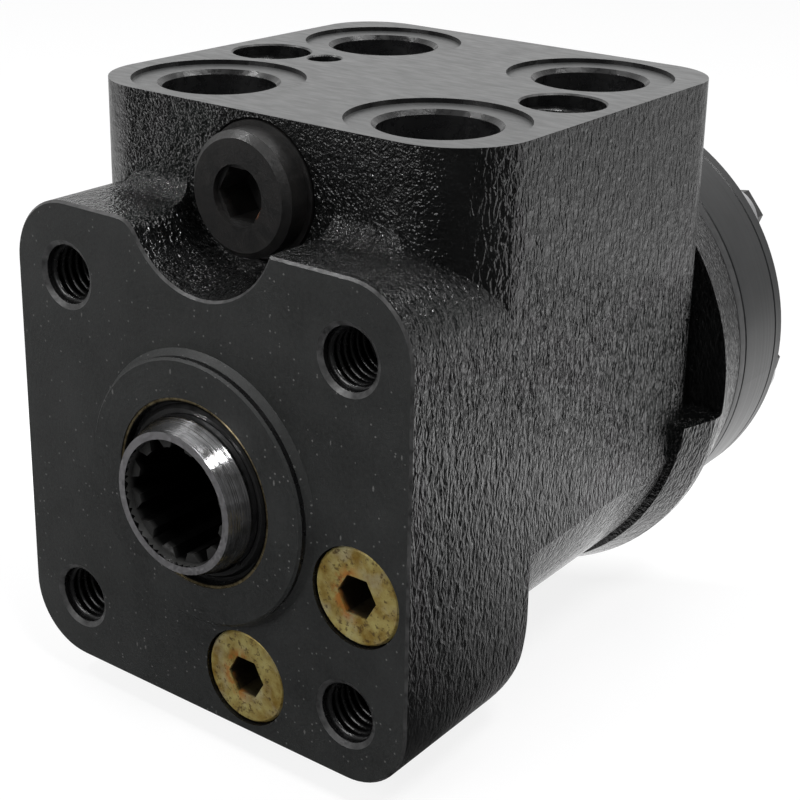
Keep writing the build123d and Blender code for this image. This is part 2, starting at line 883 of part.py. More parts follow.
with BuildPart() as distributor_plate:
    with BuildSketch(across(plate_back)):
        Circle(ring_radius)
        Circle(plate_bore_radius, mode=Mode.SUBTRACT)
        with PolarLocations(lobe_pitch_radius, ring_lobes, start_angle=90):
            Circle(screw_hole_radius, mode=Mode.SUBTRACT)
        with PolarLocations(channel_pitch_radius, ring_lobes, start_angle=90 + 180 / ring_lobes):
            Circle(channel_radius, mode=Mode.SUBTRACT)
    extrude(amount=plate_thickness)
    chamfer(rims(distributor_plate), seam_edge)
finish(distributor_plate.part, "distributor_plate")

# Ring: the lobes are round, and the star runs on them.
pocket_reach = lobe_pitch_radius - lobe_radius + 2 * eccentricity + pocket_clearance
groove_inner = oring_pitch_radius - groove_width / 2
groove_outer = oring_pitch_radius + groove_width / 2
with BuildPart() as gerotor_ring:
    with BuildSketch(across(ring_back)):
        Circle(ring_radius)
        Circle(pocket_reach, mode=Mode.SUBTRACT)
        with PolarLocations(lobe_pitch_radius, ring_lobes, start_angle=90):
            Circle(lobe_radius)
        Circle(ring_radius, mode=Mode.INTERSECT)
        with PolarLocations(lobe_pitch_radius, ring_lobes, start_angle=90):
            Circle(screw_hole_radius, mode=Mode.SUBTRACT)
    extrude(amount=ring_width)
    chamfer(rims(gerotor_ring), seam_edge)
    add(ring(plate_back, plate_back + groove_depth, groove_inner, groove_outer), mode=Mode.SUBTRACT)
    add(ring(ring_back - groove_depth, ring_back, groove_inner, groove_outer), mode=Mode.SUBTRACT)
finish(gerotor_ring.part, "gerotor_ring")


def star_point(t):
    """Point of the star's outline: the path of a ring lobe's centre, moved inwards by its radius."""
    turns = ring_lobes * t
    x = lobe_pitch_radius * cos(t) + eccentricity * cos(turns)
    z = lobe_pitch_radius * sin(t) + eccentricity * sin(turns)
    run_x = -lobe_pitch_radius * sin(t) - ring_lobes * eccentricity * sin(turns)
    run_z = lobe_pitch_radius * cos(t) + ring_lobes * eccentricity * cos(turns)
    inwards = (lobe_radius + star_clearance) / hypot(run_x, run_z)
    x, z = x - inwards * run_z, z + inwards * run_x
    # The star's first tooth points up, and its middle lies below the shaft axis.
    return (-z, x - eccentricity)


star_points = 16 * (ring_lobes - 1)
with BuildPart() as gerotor_star:
    with BuildSketch(across(ring_back - star_side_clearance)):
        with BuildLine():
            Spline([star_point(2 * pi * k / star_points) for k in range(star_points)], periodic=True)
        make_face()
        with Locations((0, -eccentricity)):
            Circle(drive_root_radius + drive_clearance, mode=Mode.SUBTRACT)
            with PolarLocations(0, drive_teeth):
                Polygon(
                    (drive_root_radius - 1, -tooth_root / 2 - drive_clearance),
                    (drive_tip_radius + drive_clearance, -tooth_tip / 2 - drive_clearance),
                    (drive_tip_radius + drive_clearance, tooth_tip / 2 + drive_clearance),
                    (drive_root_radius - 1, tooth_root / 2 + drive_clearance),
                    align=None,
                    mode=Mode.SUBTRACT,
                )
    extrude(amount=ring_width - 2 * star_side_clearance)
finish(gerotor_star.part, "gerotor_star")

# Loose spacer between the end of the cardan shaft and the cover.
with BuildPart() as spacer:
    spacer_back = ring_back - star_side_clearance
    add(disc(spacer_back - spacer_thickness, spacer_back, spacer_radius, 0, -eccentricity))
finish(spacer.part, "spacer")

with BuildPart() as end_cover:
    with BuildSketch(across(cover_back)):
        Circle(ring_radius)
        with PolarLocations(lobe_pitch_radius, ring_lobes, start_angle=90):
            Circle(screw_hole_radius, mode=Mode.SUBTRACT)
    extrude(amount=cover_thickness)
    chamfer(rims(end_cover)[0], seam_edge)
    chamfer(rims(end_cover)[-1], cover_chamfer)
finish(end_cover.part, "end_cover")

head_face = cover_back + washer_thickness
with BuildPart() as cover_washers:
    with BuildSketch(across(head_face)):
        with PolarLocations(lobe_pitch_radius, ring_lobes, start_angle=90):
            Circle(washer_radius)
            Circle(screw_hole_radius, mode=Mode.SUBTRACT)
    extrude(amount=washer_thickness)
finish(cover_washers.part, "cover_washers")

with BuildPart() as cover_screws:
    for angle in lobe_angles:
        x, z = polar(lobe_pitch_radius, angle)
        with BuildPart(mode=Mode.PRIVATE) as screw:
            add(disc(screw_end, head_face, screw_radius, x, z))
            with BuildSketch(across(head_face + screw_head_height)):
                with Locations((x, z)):
                    RegularPolygon(screw_head_across / 2, 6, major_radius=False, rotation=angle + 30)
            extrude(amount=screw_head_height)
        add(screw.part)
finish(cover_screws.part, "cover_screws")

# O-rings: housing to plate, plate to ring, ring to cover.
with BuildPart() as o_rings:
    for seat in (housing_back, plate_back + groove_depth, ring_back):
        with BuildSketch(Plane.XY):
            with Locations((oring_pitch_radius, seat - oring_radius)):
                Circle(oring_radius)
        revolve(axis=Axis.Y)
finish(o_rings.part, "o_rings")

# ======================= Relief valve =======================

with BuildPart() as relief_plug:
    washer_front = relief_spotface_y - relief_washer_thickness
    add(
        turned(
            [
                (0, relief_head_front),
                (relief_head_radius - relief_head_chamfer, relief_head_front),
                (relief_head_radius, relief_head_front + relief_head_chamfer),
                (relief_head_radius, washer_front),
                (relief_thread_radius - thread_clearance, washer_front),
                (relief_thread_radius - thread_clearance, relief_plug_end),
                (0, relief_plug_end),
            ],
            z=relief_z,
        )
    )
    add(disc(relief_head_front, relief_head_front + 1, relief_socket_radius, 0, relief_z), mode=Mode.SUBTRACT)
    add(hex_hole(relief_head_front, relief_socket_depth, relief_socket_across, 0, relief_z), mode=Mode.SUBTRACT)
finish(relief_plug.part, "relief_plug")

with BuildPart() as relief_washer:
    with BuildSketch(across(relief_spotface_y)):
        with Locations((0, relief_z)):
            Circle(relief_washer_radius)
            Circle(relief_thread_radius + 0.1, mode=Mode.SUBTRACT)
    extrude(amount=relief_washer_thickness)
finish(relief_washer.part, "relief_washer")

with BuildPart() as relief_adjuster:
    adjuster_front = relief_plug_end + 0.6
    add(disc(adjuster_front, adjuster_end, relief_thread_radius - thread_clearance, 0, relief_z))
    add(hex_hole(adjuster_front, adjuster_end - adjuster_front - 2, 6, 0, relief_z), mode=Mode.SUBTRACT)
    add(disc(adjuster_front, adjuster_end, 2, 0, relief_z), mode=Mode.SUBTRACT)
finish(relief_adjuster.part, "relief_adjuster")

with BuildPart() as relief_poppet:
    poppet_back = relief_seat_y - poppet_length
    add(
        turned(
            [
                (0, poppet_back),
                (relief_chamber_radius - 0.08, poppet_back),
                (relief_chamber_radius - 0.08, poppet_back + 3),
                (relief_seat_radius - 0.1, relief_seat_y),
                (1.4, relief_seat_y + 1.2),
                (0, relief_seat_y + 1.2),
            ],
            z=relief_z,
        )
    )
finish(relief_poppet.part, "relief_poppet")
finish(coil(adjuster_end, poppet_back, 4.4, 0.7, 5, 0, relief_z), "relief_spring")

# ======================= Shock valves =======================

for number, angle in enumerate(shock_angles, start=1):
    x, z = polar(shock_pitch_radius, angle)
    with BuildPart() as shock_plug:
        add(
            turned(
                [
                    (0, shock_head_set_back),
                    (shock_head_radius - 0.4, shock_head_set_back),
                    (shock_head_radius, shock_head_set_back + 0.4),
                    (shock_head_radius, shock_recess_depth),
                    (shock_thread_radius, shock_recess_depth),
                    (shock_thread_radius, shock_plug_end),
                    (0, shock_plug_end),
                ],
                x,
                z,
            )
        )
        add(
            hex_hole(shock_head_set_back, shock_socket_depth, shock_socket_across, x, z),
            mode=Mode.SUBTRACT,
        )
    finish(shock_plug.part, f"shock_plug_{number}")
    ball_y = shock_seat_y - sqrt(shock_ball_radius**2 - shock_seat_radius**2) - 0.02
    with BuildPart() as shock_ball:
        with Locations((x, ball_y, z)):
            Sphere(shock_ball_radius)
    finish(shock_ball.part, f"shock_ball_{number}")
    finish(coil(shock_plug_end, ball_y - 1.7, 3.2, 0.55, 7, x, z), f"shock_spring_{number}")

# ======================= Check valve and suction valves =======================

with BuildPart() as check_bush:
    with BuildSketch(Plane.XY.offset(bush_floor)):
        with Locations((-port_x, port_y_front)):
            Circle(check_bush_radius)
            Circle(check_bush_hole, mode=Mode.SUBTRACT)
    extrude(amount=check_bush_length)
    with BuildSketch(Plane.XY.offset(port_floor)):
        with Locations((-port_x, port_y_front)):
            RegularPolygon(check_bush_hole + 1, 6, major_radius=False)
    extrude(amount=-check_bush_length / 2, mode=Mode.SUBTRACT)
finish(check_bush.part, "check_bush")

with BuildPart() as check_ball:
    with Locations((-port_x, port_y_front, check_floor + check_ball_radius + 0.02)):
        Sphere(check_ball_radius)
finish(check_ball.part, "check_ball")

suction_y = suction_seat_y + sqrt(suction_ball_radius**2 - suction_hole_radius**2) + 0.02
for number, lobe in enumerate(suction_lobes, start=1):
    x, z = polar(lobe_pitch_radius, lobe_angles[lobe])
    with BuildPart() as suction_ball:
        with Locations((x, suction_y, z)):
            Sphere(suction_ball_radius)
    finish(suction_ball.part, f"suction_ball_{number}")
    with BuildPart() as suction_pin:
        pin_front = suction_y + suction_ball_radius + suction_travel + 0.05
        add(disc(pin_front, screw_end, suction_pin_radius, x, z))
    finish(suction_pin.part, f"suction_pin_{number}")
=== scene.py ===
import math

import bmesh
import bpy
import numpy as np
from mathutils import Matrix, Vector


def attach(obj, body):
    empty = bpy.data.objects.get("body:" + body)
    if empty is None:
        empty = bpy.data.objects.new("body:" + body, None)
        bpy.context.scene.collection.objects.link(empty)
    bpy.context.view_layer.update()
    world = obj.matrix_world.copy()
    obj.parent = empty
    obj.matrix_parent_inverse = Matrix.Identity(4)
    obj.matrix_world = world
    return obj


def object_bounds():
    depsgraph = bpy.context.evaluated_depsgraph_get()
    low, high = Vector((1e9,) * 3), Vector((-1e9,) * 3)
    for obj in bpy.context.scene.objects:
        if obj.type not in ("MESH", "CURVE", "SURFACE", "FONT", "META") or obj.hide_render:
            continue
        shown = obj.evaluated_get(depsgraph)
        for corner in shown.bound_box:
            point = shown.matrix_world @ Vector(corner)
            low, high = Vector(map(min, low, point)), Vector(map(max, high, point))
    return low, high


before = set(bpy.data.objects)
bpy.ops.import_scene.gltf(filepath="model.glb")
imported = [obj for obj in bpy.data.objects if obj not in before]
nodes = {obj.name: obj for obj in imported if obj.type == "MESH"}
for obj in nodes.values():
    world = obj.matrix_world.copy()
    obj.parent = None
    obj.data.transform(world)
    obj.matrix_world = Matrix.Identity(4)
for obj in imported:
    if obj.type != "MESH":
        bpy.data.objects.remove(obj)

cad_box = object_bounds()
scene = bpy.context.scene

# ======================= Camera =======================
# A short telephoto view from the right of the column flange and a little above it, with the unit
# filling the frame.
across, rise, tilt = math.radians(35.254), math.radians(18.965), math.radians(1.629)
aim, distance = Vector((0.01401, 0.045, 0.02486)), 0.27991
picture, focal_length, centre_x, centre_y = 800, 1659.23, 446.0, 287.31  # all in pixels
sensor_width = 36

sight = Vector(
    (-math.sin(across) * math.cos(rise), math.cos(across) * math.cos(rise), -math.sin(rise))
)
level = sight.cross(Vector((0, 0, 1))).normalized()
upright = level.cross(sight)
camera_x = math.cos(tilt) * level + math.sin(tilt) * upright
camera_y = math.cos(tilt) * upright - math.sin(tilt) * level
turn = Matrix((camera_x, camera_y, -sight)).transposed().to_4x4()
camera = bpy.data.objects.new("camera", bpy.data.cameras.new("camera"))
scene.collection.objects.link(camera)
camera.matrix_world = Matrix.Translation(aim - distance * sight) @ turn
camera.data.sensor_width = sensor_width
camera.data.lens = focal_length * sensor_width / picture
camera.data.shift_x = (picture / 2 - centre_x) / picture
camera.data.shift_y = (centre_y - picture / 2) / picture
camera.data.clip_start = 0.01
scene.camera = camera

# ======================= Light and floor =======================
# White paper sweep, bright behind the unit and dim in front, with a soft box overhead, a strip at
# the right, a broad fill in front and two small lamps that glint on gloss paint. The pale floor
# keeps the unit's shadow, and shiny surfaces see it go dark towards the front.
scene.view_settings.view_transform = "Standard"


def add_node(tree, kind, inputs=None, **settings):
    """One shader node with its settings, and its inputs either set or joined to other nodes."""
    made = tree.nodes.new(kind)
    for key, value in settings.items():
        setattr(made, key, value)
    for key, value in (inputs or {}).items():
        if isinstance(value, bpy.types.NodeSocket):
            tree.links.new(value, made.inputs[key])
        else:
            made.inputs[key].default_value = value
    return made


def maths(tree, operation, a, b=0.0, clamp=False):
    """A value worked out from one or two others."""
    made = add_node(tree, "ShaderNodeMath", {0: a, 1: b}, operation=operation, use_clamp=clamp)
    return made.outputs[0]


def span(tree, value, low, high, to_low=0.0, to_high=1.0):
    """A value carried from one range to another, and held at its ends."""
    made = add_node(
        tree,
        "ShaderNodeMapRange",
        {"Value": value, "From Min": low, "From Max": high, "To Min": to_low, "To Max": to_high},
    )
    return made.outputs["Result"]


def soft_box(name, place, target, width, height, power):
    """A rectangular lamp that faces a point."""
    lamp = bpy.data.lights.new(name, "AREA")
    lamp.shape = "RECTANGLE"
    lamp.size = width
    lamp.size_y = height
    lamp.energy = power
    made = bpy.data.objects.new(name, lamp)
    scene.collection.objects.link(made)
    turn = (Vector(target) - Vector(place)).to_track_quat("-Z", "Y").to_matrix().to_4x4()
    made.matrix_world = Matrix.Translation(Vector(place)) @ turn


soft_box("overhead_box", (0.12, 0.35, 0.8), (0, 0.05, 0), 0.35, 0.35, 2.4)
soft_box("right_strip", (0.72, 0.30, 0.1), (0, 0.05, 0), 0.14, 0.5, 0.7)
soft_box("front_fill", (-0.3, -0.95, 0.6), (0, 0, 0), 0.6, 0.6, 6.5)
soft_box("nose_lamp", (0.40, -0.14, 0.74), (0, 0, 0), 0.18, 0.18, 3.6)
soft_box("sparkle_lamp", (-0.5, -0.25, 0.75), (0, 0.02, 0.03), 0.05, 0.05, 1.8)

# The sweep brightens towards the back left, and is plain white where it is seen directly.
bright_side = (-0.6, 0.75, 0.1)
world = bpy.data.worlds.new("paper_sweep")
scene.world = world
world.use_nodes = True
tree = world.node_tree
tree.nodes.clear()
seen = add_node(tree, "ShaderNodeLightPath").outputs["Is Camera Ray"]
direction = add_node(tree, "ShaderNodeTexCoord").outputs["Generated"]
towards = add_node(
    tree, "ShaderNodeVectorMath", {0: direction, 1: bright_side}, operation="DOT_PRODUCT"
).outputs["Value"]
room = span(tree, towards, -0.1, 0.7, 0.12, 0.95)
strength = maths(tree, "MAXIMUM", room, seen)
light = add_node(tree, "ShaderNodeBackground", {"Color": (1, 1, 1, 1), "Strength": strength})
add_node(tree, "ShaderNodeOutputWorld", {"Surface": light.outputs[0]})

floor_level = cad_box[0][2] - 0.0001
floor_mesh = bmesh.new()
bmesh.ops.create_grid(floor_mesh, x_segments=1, y_segments=1, size=3.0)
bmesh.ops.translate(floor_mesh, vec=(0, 0, floor_level), verts=floor_mesh.verts)
floor = bpy.data.objects.new("floor", bpy.data.meshes.new("floor"))
floor_mesh.to_mesh(floor.data)
floor_mesh.free()
scene.collection.objects.link(floor)

# Matt paper under the shadow, lifted by a glow to the white of the sweep.
paper = bpy.data.materials.new("floor_paper")
paper.use_nodes = True
tree = paper.node_tree
tree.nodes.clear()
rays = add_node(tree, "ShaderNodeLightPath").outputs
matt = add_node(tree, "ShaderNodeBsdfDiffuse", {"Color": (0.8, 0.8, 0.81, 1)})
on_floor = add_node(tree, "ShaderNodeTexCoord").outputs["Object"]
on_floor = add_node(tree, "ShaderNodeSeparateXYZ", {0: on_floor}).outputs
behind = maths(tree, "SUBTRACT", on_floor["Y"], maths(tree, "MULTIPLY", on_floor["X"], 0.6))
brightening = span(tree, behind, 0.0, 0.1, 0.06, 1.4)
fading = span(tree, behind, 0.12, 0.3, 1.0, 0.42)
reflected_glow = maths(tree, "MULTIPLY", brightening, fading)
seen_glow = maths(tree, "MULTIPLY", rays["Is Camera Ray"], 1.06)
strength = maths(tree, "MAXIMUM", seen_glow, reflected_glow)
glow = add_node(tree, "ShaderNodeEmission", {"Color": (1, 1, 1, 1), "Strength": strength})
seen_share = maths(tree, "MULTIPLY", rays["Is Camera Ray"], 0.8)
share = maths(tree, "MAXIMUM", seen_share, rays["Is Glossy Ray"])
both = add_node(tree, "ShaderNodeMixShader", {0: share, 1: matt.outputs[0], 2: glow.outputs[0]})
add_node(tree, "ShaderNodeOutputMaterial", {"Surface": both.outputs[0]})
floor.data.materials.append(paper)

# ======================= Housing =======================
# Sand casting in grey iron, dipped in thick gloss black paint that has run into fine wrinkles. Its
# mounting face, boss, port face and spotfaces are milled or turned, and painted thinly. Sizes and
# places here are in millimetres.
mm_per_m = 1000.0
flange_holes = [(hole_x, hole_z) for hole_x in (-29.17, 29.17) for hole_z in (-29.17, 29.17)]
ports = [(port_x, port_y) for port_x in (-22.63, 22.63) for port_y in (29.5, 74.24)]
block_holes = [(-30.9, 52.1), (30.9, 52.1)]
locating_hole = (-20, 53.8)
block_top = 58
shock_plugs = [
    (32 * math.cos(angle), 32 * math.sin(angle)) for angle in map(math.radians, (-15.3, -74.7))
]
relief_plug = (0.0, 45.9)


def effect(name, inputs, outputs):
    """An empty shader node group with named sockets; returns it with its first and last nodes."""
    made = bpy.data.node_groups.new(name, "ShaderNodeTree")
    for key, value in inputs.items():
        kind = "NodeSocketVector" if isinstance(value, tuple) else "NodeSocketFloat"
        made.interface.new_socket(key, in_out="INPUT", socket_type=kind).default_value = value
    for key in outputs:
        made.interface.new_socket(key, in_out="OUTPUT", socket_type="NodeSocketFloat")
    return made, made.nodes.new("NodeGroupInput").outputs, made.nodes.new("NodeGroupOutput").inputs


def place_effect(tree, group, **values):
    """One copy of an effect in a material, with its own values; returns its outputs."""
    return add_node(tree, "ShaderNodeGroup", values, node_tree=group).outputs


def in_millimetres(tree, size=1.0, stretch=None, shift=None):
    """Object coordinates over a size in millimetres, stretched and shifted for a pattern."""
    vector = add_node(tree, "ShaderNodeTexCoord").outputs["Object"]
    if stretch is not None:
        stretched = {0: vector, 1: stretch}
        vector = add_node(tree, "ShaderNodeVectorMath", stretched, operation="MULTIPLY").outputs[0]
    scaled = {0: vector, "Scale": maths(tree, "DIVIDE", mm_per_m, size)}
    vector = add_node(tree, "ShaderNodeVectorMath", scaled, operation="SCALE").outputs[0]
    if shift is not None:
        shifted = {0: vector, 1: shift}
        vector = add_node(tree, "ShaderNodeVectorMath", shifted, operation="ADD").outputs[0]
    return vector


def place_on_piece(tree):
    """A point's own X, Y and Z in millimetres."""
    return add_node(tree, "ShaderNodeSeparateXYZ", {0: in_millimetres(tree)}).outputs


def noise(tree, vector, detail, roughness, distortion=0.0):
    """Cloudy noise of unit size."""
    looks = {"Scale": 1.0, "Detail": detail, "Roughness": roughness, "Distortion": distortion}
    return add_node(tree, "ShaderNodeTexNoise", {"Vector": vector, **looks}).outputs["Fac"]


# Cloudy patches: a mask that goes from 0 to 1 between two levels of a noise.
mottle, given, result = effect(
    "mottle", {"Size": 5.0, "Start": 0.4, "End": 0.6, "Shift": (0.0, 0.0, 0.0)}, ("Mask",)
)
cloud = noise(mottle, in_millimetres(mottle, given["Size"], shift=given["Shift"]), 4.0, 0.6)
mottle.links.new(span(mottle, cloud, given["Start"], given["End"]), result["Mask"])

# Fine grain of a blasted, sprayed or ground surface, stretched along its lay.
grain, given, result = effect(
    "grain",
    {"Size": 1.0, "Stretch": (1.0, 1.0, 1.0), "Smoothest": 0.3, "Roughest": 0.5},
    ("Height", "Roughness"),
)
fine = noise(grain, in_millimetres(grain, given["Size"], given["Stretch"]), 3.0, 0.62)
grain.links.new(fine, result["Height"])
shine = span(grain, fine, 0.3, 0.7, given["Smoothest"], given["Roughest"])
grain.links.new(shine, result["Roughness"])

# Cutter or turning marks round an axis along Y, from fine rings of noise about a centre.
rings, given, result = effect(
    "turning_marks",
    {"Centre": (0.0, 0.0, 0.0), "Pitch": 0.4, "Smoothest": 0.3, "Roughest": 0.5},
    ("Height", "Roughness", "Radius"),
)
offset = {0: add_node(rings, "ShaderNodeTexCoord").outputs["Object"], 1: given["Centre"]}
offset = add_node(rings, "ShaderNodeVectorMath", offset, operation="SUBTRACT").outputs[0]
offset = {0: offset, "Scale": mm_per_m}
offset = add_node(rings, "ShaderNodeVectorMath", offset, operation="SCALE").outputs[0]
parts = add_node(rings, "ShaderNodeSeparateXYZ", {0: offset}).outputs
flat = add_node(rings, "ShaderNodeCombineXYZ", {"X": parts["X"], "Z": parts["Z"]}).outputs[0]
radius = add_node(rings, "ShaderNodeVectorMath", {0: flat}, operation="LENGTH").outputs["Value"]
ring_place = {
    "X": maths(rings, "DIVIDE", radius, given["Pitch"]),
    "Y": maths(rings, "DIVIDE", parts["Y"], given["Pitch"]),
    "Z": maths(rings, "MULTIPLY", parts["X"], 0.05),
}
marks = noise(rings, add_node(rings, "ShaderNodeCombineXYZ", ring_place).outputs[0], 2.0, 0.6)
rings.links.new(marks, result["Height"])
shine = span(rings, marks, 0.3, 0.7, given["Smoothest"], given["Roughest"])
rings.links.new(shine, result["Roughness"])
rings.links.new(radius, result["Radius"])

# Small separate specks: chips, dust and stains.
specks, given, result = effect(
    "specks", {"Size": 2.0, "Share": 0.2, "Stretch": (1.0, 1.0, 1.0)}, ("Mask",)
)
cells = {"Vector": in_millimetres(specks, given["Size"], given["Stretch"]), "Scale": 1.0}
cells = add_node(specks, "ShaderNodeTexVoronoi", cells).outputs
picked = add_node(specks, "ShaderNodeSeparateXYZ", {0: cells["Color"]}).outputs
wanted = maths(specks, "LESS_THAN", picked["X"], given["Share"])
dot = span(specks, cells["Distance"], 0.22, 0.14)
specks.links.new(maths(specks, "MULTIPLY", wanted, dot), result["Mask"])


def new_material(name, colour=None, **principled):
    """A material with a Principled shader; returns the material, its tree and the shader."""
    made = bpy.data.materials.new(name)
    made.use_nodes = True
    shader = made.node_tree.nodes["Principled BSDF"]
    if colour is not None:
        shader.inputs["Base Color"].default_value = (*colour, 1)
    for key, value in principled.items():
        shader.inputs[key.replace("_", " ")].default_value = value
    return made, made.node_tree, shader


def drive(tree, shader, **patterns):
    """Joins patterns to the inputs of a shader."""
    for key, pattern in patterns.items():
        tree.links.new(pattern, shader.inputs[key.replace("_", " ")])


def blend(tree, factor, a, b):
    """A colour between two, each given as numbers or as a socket."""
    made = add_node(tree, "ShaderNodeMix", {"Factor": factor}, data_type="RGBA")
    for socket, colour in ((made.inputs[6], a), (made.inputs[7], b)):
        if isinstance(colour, bpy.types.NodeSocket):
            tree.links.new(colour, socket)
        else:
            socket.default_value = (*colour, 1)
    return made.outputs[2]


def lay_over(tree, under, mask, strength, colour):
    """A colour laid over another where a mask is, at part of its full strength."""
    return blend(tree, maths(tree, "MULTIPLY", mask, strength), under, colour)


def mix(tree, factor, a, b):
    """A value between two others."""
    return add_node(tree, "ShaderNodeMix", {0: factor, 2: a, 3: b}, data_type="FLOAT").outputs[0]


def raise_bumps(tree, shader, height, distance_mm, strength=1.0, over=None):
    """Bumps of a height in millimetres on a shader's normal, on top of others if there are any."""
    values = {"Strength": strength, "Distance": distance_mm / mm_per_m, "Height": height}
    if over is not None:
        values["Normal"] = over
    made = add_node(tree, "ShaderNodeBump", values).outputs[0]
    drive(tree, shader, Normal=made)
    return made


def ridged(tree, value, sharpness=6.0):
    """Thin ridges where a noise crosses its middle, 1 on the crest and 0 between."""
    off_middle = maths(tree, "ABSOLUTE", maths(tree, "SUBTRACT", value, 0.5))
    return maths(tree, "SUBTRACT", 1.0, maths(tree, "MULTIPLY", off_middle, sharpness), clamp=True)


# Paint on the casting: coarse sand grain on the walls that face forwards, and runs on the sides,
# upright at the top and slanting lower down.
run_width, run_stretch, run_slant = 1.15, (1.0, 1.0, 0.38), math.radians(-38)
cast_paint, tree, shader = new_material("cast_paint", Roughness=0.14, Specular_IOR_Level=0.5)
facing = add_node(tree, "ShaderNodeTexCoord").outputs["Normal"]
facing = add_node(tree, "ShaderNodeSeparateXYZ", {0: facing}).outputs
sides = span(tree, maths(tree, "ABSOLUTE", facing["X"]), 0.45, 0.8)
spot = place_on_piece(tree)
upright_runs = noise(tree, in_millimetres(tree, run_width, run_stretch), 2.0, 0.5, 0.3)
slanted = {
    "Vector": in_millimetres(tree, run_width), "Rotation": (run_slant, 0, 0), "Scale": run_stretch
}
slanted_runs = noise(tree, add_node(tree, "ShaderNodeMapping", slanted).outputs[0], 2.0, 0.5, 0.3)
low_down = span(tree, spot["Z"], -20, -32)
runs = ridged(tree, mix(tree, low_down, upright_runs, slanted_runs))
sand = ridged(tree, noise(tree, in_millimetres(tree), 2.0, 0.55))
swell = place_effect(tree, grain, Size=3.4)
broad = raise_bumps(tree, shader, swell["Height"], 0.45)
coarser_in_front = span(tree, spot["Y"], 14.5, 12.5, 0.3, 1.2)
coarser_at_right = span(tree, spot["X"], -5, 36, 0.0, 0.45)
coarseness = maths(tree, "ADD", coarser_in_front, coarser_at_right)
height = mix(tree, sides, maths(tree, "MULTIPLY", sand, coarseness), runs)
raise_bumps(tree, shader, height, 0.15, over=broad)
patches = place_effect(tree, mottle, Size=9.0, Start=0.35, End=0.65)
colour = blend(tree, patches["Mask"], (0.002, 0.0021, 0.0021), (0.004, 0.0042, 0.0042))
drive(tree, shader, Base_Color=colour)

# Thin satin paint on the milled and turned faces, dusty and scratched.
machined, tree, shader = new_material("machined_black", Specular_IOR_Level=0.36)
clouds = place_effect(tree, mottle, Size=11.0, Start=0.3, End=0.7)
small_clouds = place_effect(tree, mottle, Size=0.7, Start=0.35, End=0.7, Shift=(7.0, 3.0, 1.0))
turned_face = place_effect(tree, rings, Pitch=0.7)
fine = place_effect(tree, grain, Size=0.35, Smoothest=0.4, Roughest=0.6)
colour = blend(tree, clouds["Mask"], (0.0095, 0.0102, 0.0099), (0.019, 0.02, 0.0196))
colour = lay_over(tree, colour, small_clouds["Mask"], 0.5, (0.027, 0.028, 0.0275))
dust = place_effect(tree, specks, Size=0.9, Share=0.22)
scratches = place_effect(tree, specks, Size=1.0, Share=0.03, Stretch=(1.0, 1.0, 0.4))
chips = maths(tree, "MAXIMUM", dust["Mask"], scratches["Mask"])
colour = lay_over(tree, colour, chips, 0.5, (0.15, 0.15, 0.145))
drive(tree, shader, Base_Color=colour, Roughness=fine["Roughness"])
fine_bumps = raise_bumps(tree, shader, fine["Height"], 0.06, 0.6)
raise_bumps(tree, shader, turned_face["Height"], 0.05, 0.5, fine_bumps)

# The port face and its spotfaces, milled and painted so thinly that they shine grey at a low angle.
port_face, tree, shader = new_material("port_face", Specular_IOR_Level=0.75)
clouds = place_effect(tree, mottle, Size=9.0, Start=0.3, End=0.7)
# The paler grey of this base colour, beside the mounting face's, is partly painted sheen.
colour = blend(tree, clouds["Mask"], (0.036, 0.037, 0.037), (0.052, 0.053, 0.053))
milled = place_effect(tree, grain, Size=1.1, Stretch=(0.25, 1.0, 1.0), Smoothest=0.3, Roughest=0.44)
drive(tree, shader, Base_Color=colour, Roughness=milled["Roughness"])
raise_bumps(tree, shader, milled["Height"], 0.02, 0.4)

# Near-black gloss paint in the holes and bores, partly paint that has run in and partly painted
# shade; the same near-black is painted shade on some machined walls.
bore_paint_and_shade, tree, shader = new_material("bore_paint_and_shade", (0.004, 0.004, 0.0042))
wet = place_effect(tree, grain, Size=1.8, Smoothest=0.18, Roughest=0.4)
drive(tree, shader, Roughness=wet["Roughness"])
raise_bumps(tree, shader, wet["Height"], 0.12, 0.7)

# Broken edges, where the paint has rubbed through.
worn_edge, tree, shader = new_material("worn_edge", Metallic=0.3)
rubbed = place_effect(tree, mottle, Size=2.2, Start=0.3, End=0.7)
colour = blend(tree, rubbed["Mask"], (0.012, 0.012, 0.012), (0.075, 0.075, 0.075))
edge_grain = place_effect(tree, grain, Size=0.6, Smoothest=0.3, Roughest=0.55)
drive(tree, shader, Base_Color=colour, Roughness=edge_grain["Roughness"])

# Each face of the casting takes its finish from where it lies and which way it points.
mesh = nodes["housing"].data
mesh.materials.clear()
for material in (cast_paint, machined, bore_paint_and_shade, worn_edge, port_face):
    mesh.materials.append(material)
CAST, MACHINED, BORE_AND_SHADE, EDGE, PORT = range(5)
centres = np.zeros(3 * len(mesh.polygons))
mesh.polygons.foreach_get("center", centres)
normals = np.zeros(3 * len(mesh.polygons))
mesh.polygons.foreach_get("normal", normals)
x, y, z = (mm_per_m * centres.reshape(-1, 3)).T
normal_y, normal_z = normals.reshape(-1, 3).T[1:]
finish = np.full(len(mesh.polygons), CAST)


def near_axis(a, b, centre, radius):
    """Faces within a radius of the axis of a hole or boss."""
    return np.hypot(a - centre[0], b - centre[1]) < radius


def between(low, value, high):
    """Faces where a value lies in a range."""
    return (value > low) & (value < high)


